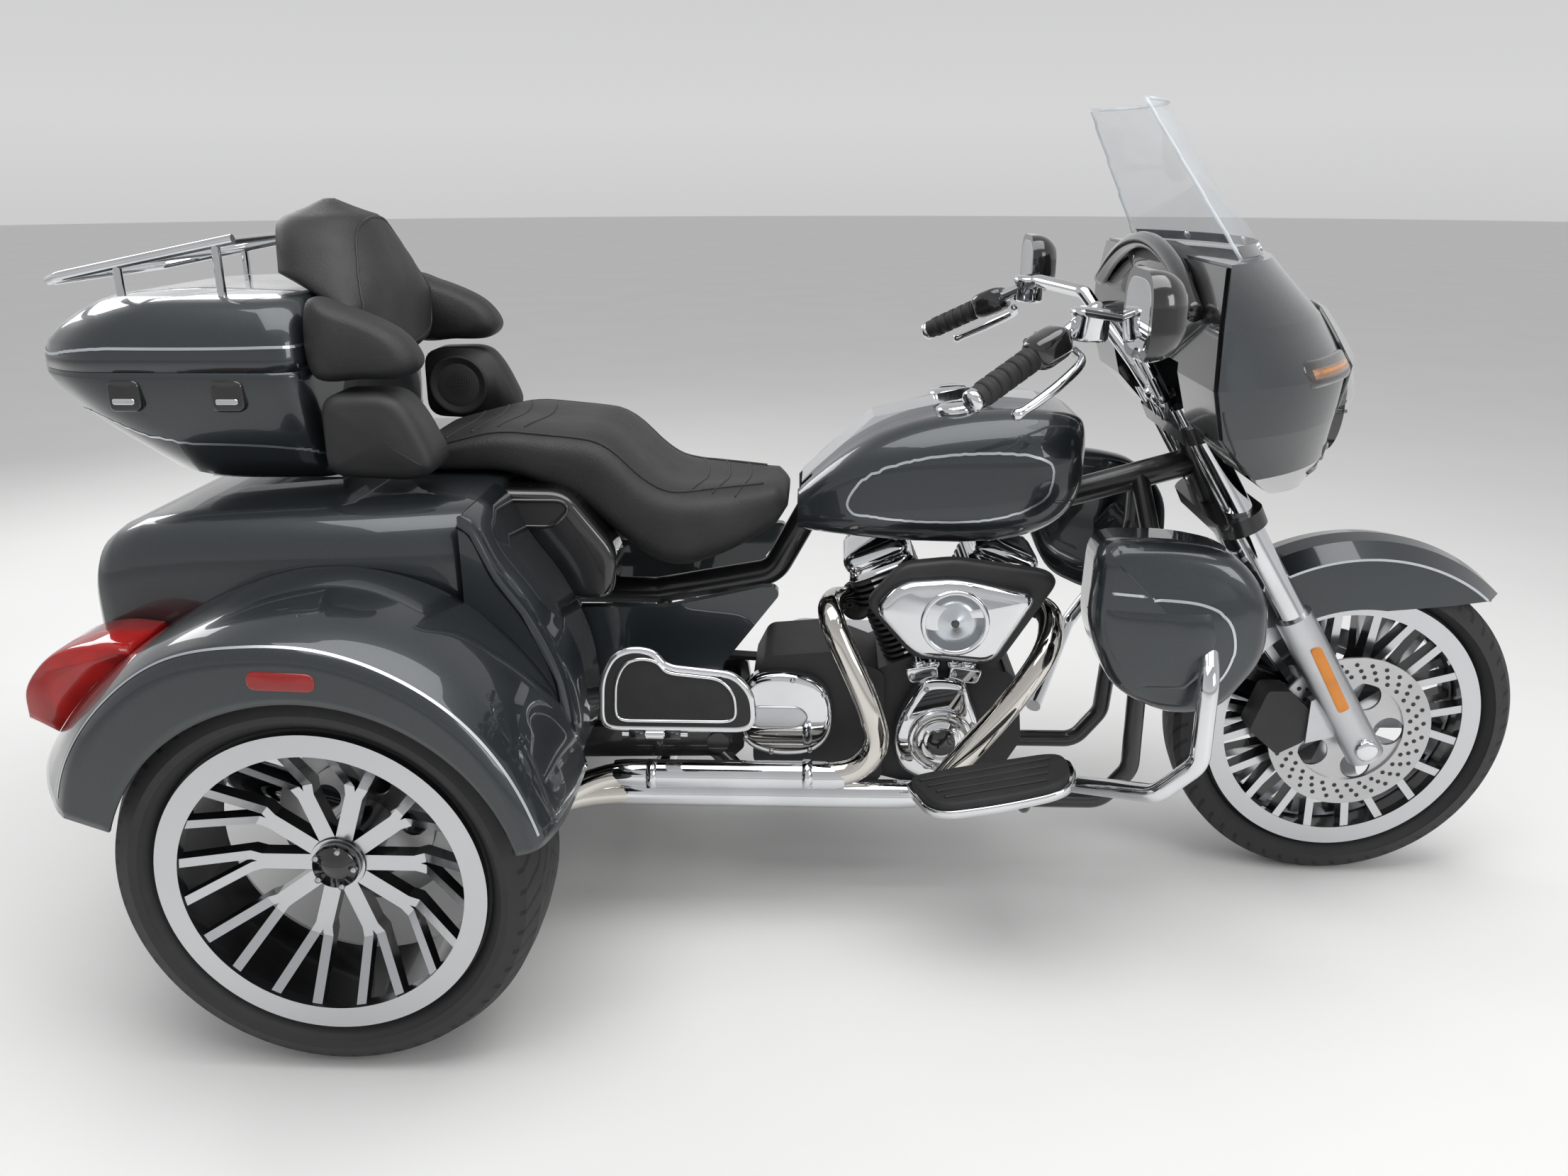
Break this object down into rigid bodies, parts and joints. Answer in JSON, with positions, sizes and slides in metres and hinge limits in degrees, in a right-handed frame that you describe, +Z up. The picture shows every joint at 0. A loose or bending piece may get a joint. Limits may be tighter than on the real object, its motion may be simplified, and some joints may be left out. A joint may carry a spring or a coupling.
{
  "type": "touring trike motorcycle",
  "caption": "Three-wheeled touring motorcycle with a V-twin engine, fork-mounted fairing, rear body with trunk, tour box with backrest, and folding passenger boards.",
  "frame": {"origin": "under the middle of the length and width, on the ground", "axes": "+X forward, +Y to the rider's left, +Z up"},
  "size_m": [2.599, 1.394, 1.425],
  "materials": {
    "paint": "gloss metallic",
    "black_paint": "gloss",
    "black_plastic": "matte",
    "gloss_black": "gloss",
    "chrome": "polished",
    "alloy": "satin",
    "rim_alloy": "machined",
    "steel": "ground",
    "engine_metal": "painted",
    "tyre_rubber": "matte",
    "rubber": "matte",
    "leather": "grained",
    "lamp_red": "gloss",
    "lamp_clear": "clear",
    "screen": "clear"
  },
  "bodies": {
    "steering": {"fork_clamps": "black_paint", "fork_tubes": "chrome", "fork_sliders": "alloy", "front_fender": "paint", "front_calipers": "black_plastic", "handlebar": "chrome", "grips": "rubber", "mirrors": "chrome", "fairing": "paint", "inner_fairing": "gloss_black", "windshield": "screen", "headlamp": "lamp_clear"},
    "front_wheel": {"front_tyre": "tyre_rubber", "front_rim": "rim_alloy", "front_discs": "steel"},
    "rear_wheel_left": {"rear_tyre_left": "tyre_rubber", "rear_rim_left": "rim_alloy", "rear_disc_left": "steel"},
    "rear_wheel_right": {"rear_tyre_right": "tyre_rubber", "rear_rim_right": "rim_alloy", "rear_disc_right": "steel"},
    "tour_box_lid": {"tour_box_lid": "paint", "backrest": "leather", "luggage_rack": "chrome"},
    "trunk_door": {"trunk_door": "paint"},
    "passenger_board_left": {"passenger_board_left": "rubber"},
    "passenger_board_right": {"passenger_board_right": "rubber"},
    "chassis": {"air_cleaner": "chrome", "air_cleaner_base": "black_paint", "board_brackets": "chrome", "cam_cover": "chrome", "cylinders": "engine_metal", "drive_belt": "black_plastic", "engine_cases": "engine_metal", "engine_guard": "chrome", "exhaust_pipes": "chrome", "frame": "black_paint", "fuel_tank": "paint", "gearbox_cover": "chrome", "lower_fairings": "paint", "mufflers": "chrome", "primary_cover": "chrome", "rear_axle": "black_paint", "rear_fenders": "paint", "rider_boards": "rubber", "rocker_covers": "chrome", "seat": "leather", "side_covers": "paint", "speaker_pods": "black_plastic", "tail_lamps": "lamp_red", "tank_console": "chrome", "tour_box": "paint", "tour_box_bracket": "chrome", "trunk": "paint"}
  },
  "joints": [
    {"name": "steering", "type": "hinge", "parent": "chassis", "child": "steering", "pos_m": [0.69415, 0, 0.791], "axis": [-0.4384, 0, 0.8988], "range_deg": [-28, 28]},
    {"name": "front_wheel_spin", "type": "hinge", "parent": "steering", "child": "front_wheel", "pos_m": [0.984, 0, 0.318], "axis": [0, 1, 0], "continuous": true},
    {"name": "rear_wheel_left_spin", "type": "hinge", "parent": "chassis", "child": "rear_wheel_left", "pos_m": [-0.741, 0.571, 0.322], "axis": [0, 1, 0], "continuous": true},
    {"name": "rear_wheel_right_spin", "type": "hinge", "parent": "chassis", "child": "rear_wheel_right", "pos_m": [-0.741, -0.571, 0.322], "axis": [0, 1, 0], "continuous": true},
    {"name": "tour_box_lid_hinge", "type": "hinge", "parent": "chassis", "child": "tour_box_lid", "pos_m": [-1.066, 0.322, 1.02], "axis": [-1, 0, 0], "range_deg": [0, 75]},
    {"name": "trunk_door_hinge", "type": "hinge", "parent": "chassis", "child": "trunk_door", "pos_m": [-1.167, 0, 0.488], "axis": [0, -1, 0], "range_deg": [0, 88]},
    {"name": "passenger_board_left_fold", "type": "hinge", "parent": "chassis", "child": "passenger_board_left", "pos_m": [-0.286, 0.352, 0.425], "axis": [-1, 0, 0], "range_deg": [0, 90]},
    {"name": "passenger_board_right_fold", "type": "hinge", "parent": "chassis", "child": "passenger_board_right", "pos_m": [-0.286, -0.352, 0.425], "axis": [1, 0, 0], "range_deg": [0, 90]}
  ]
}
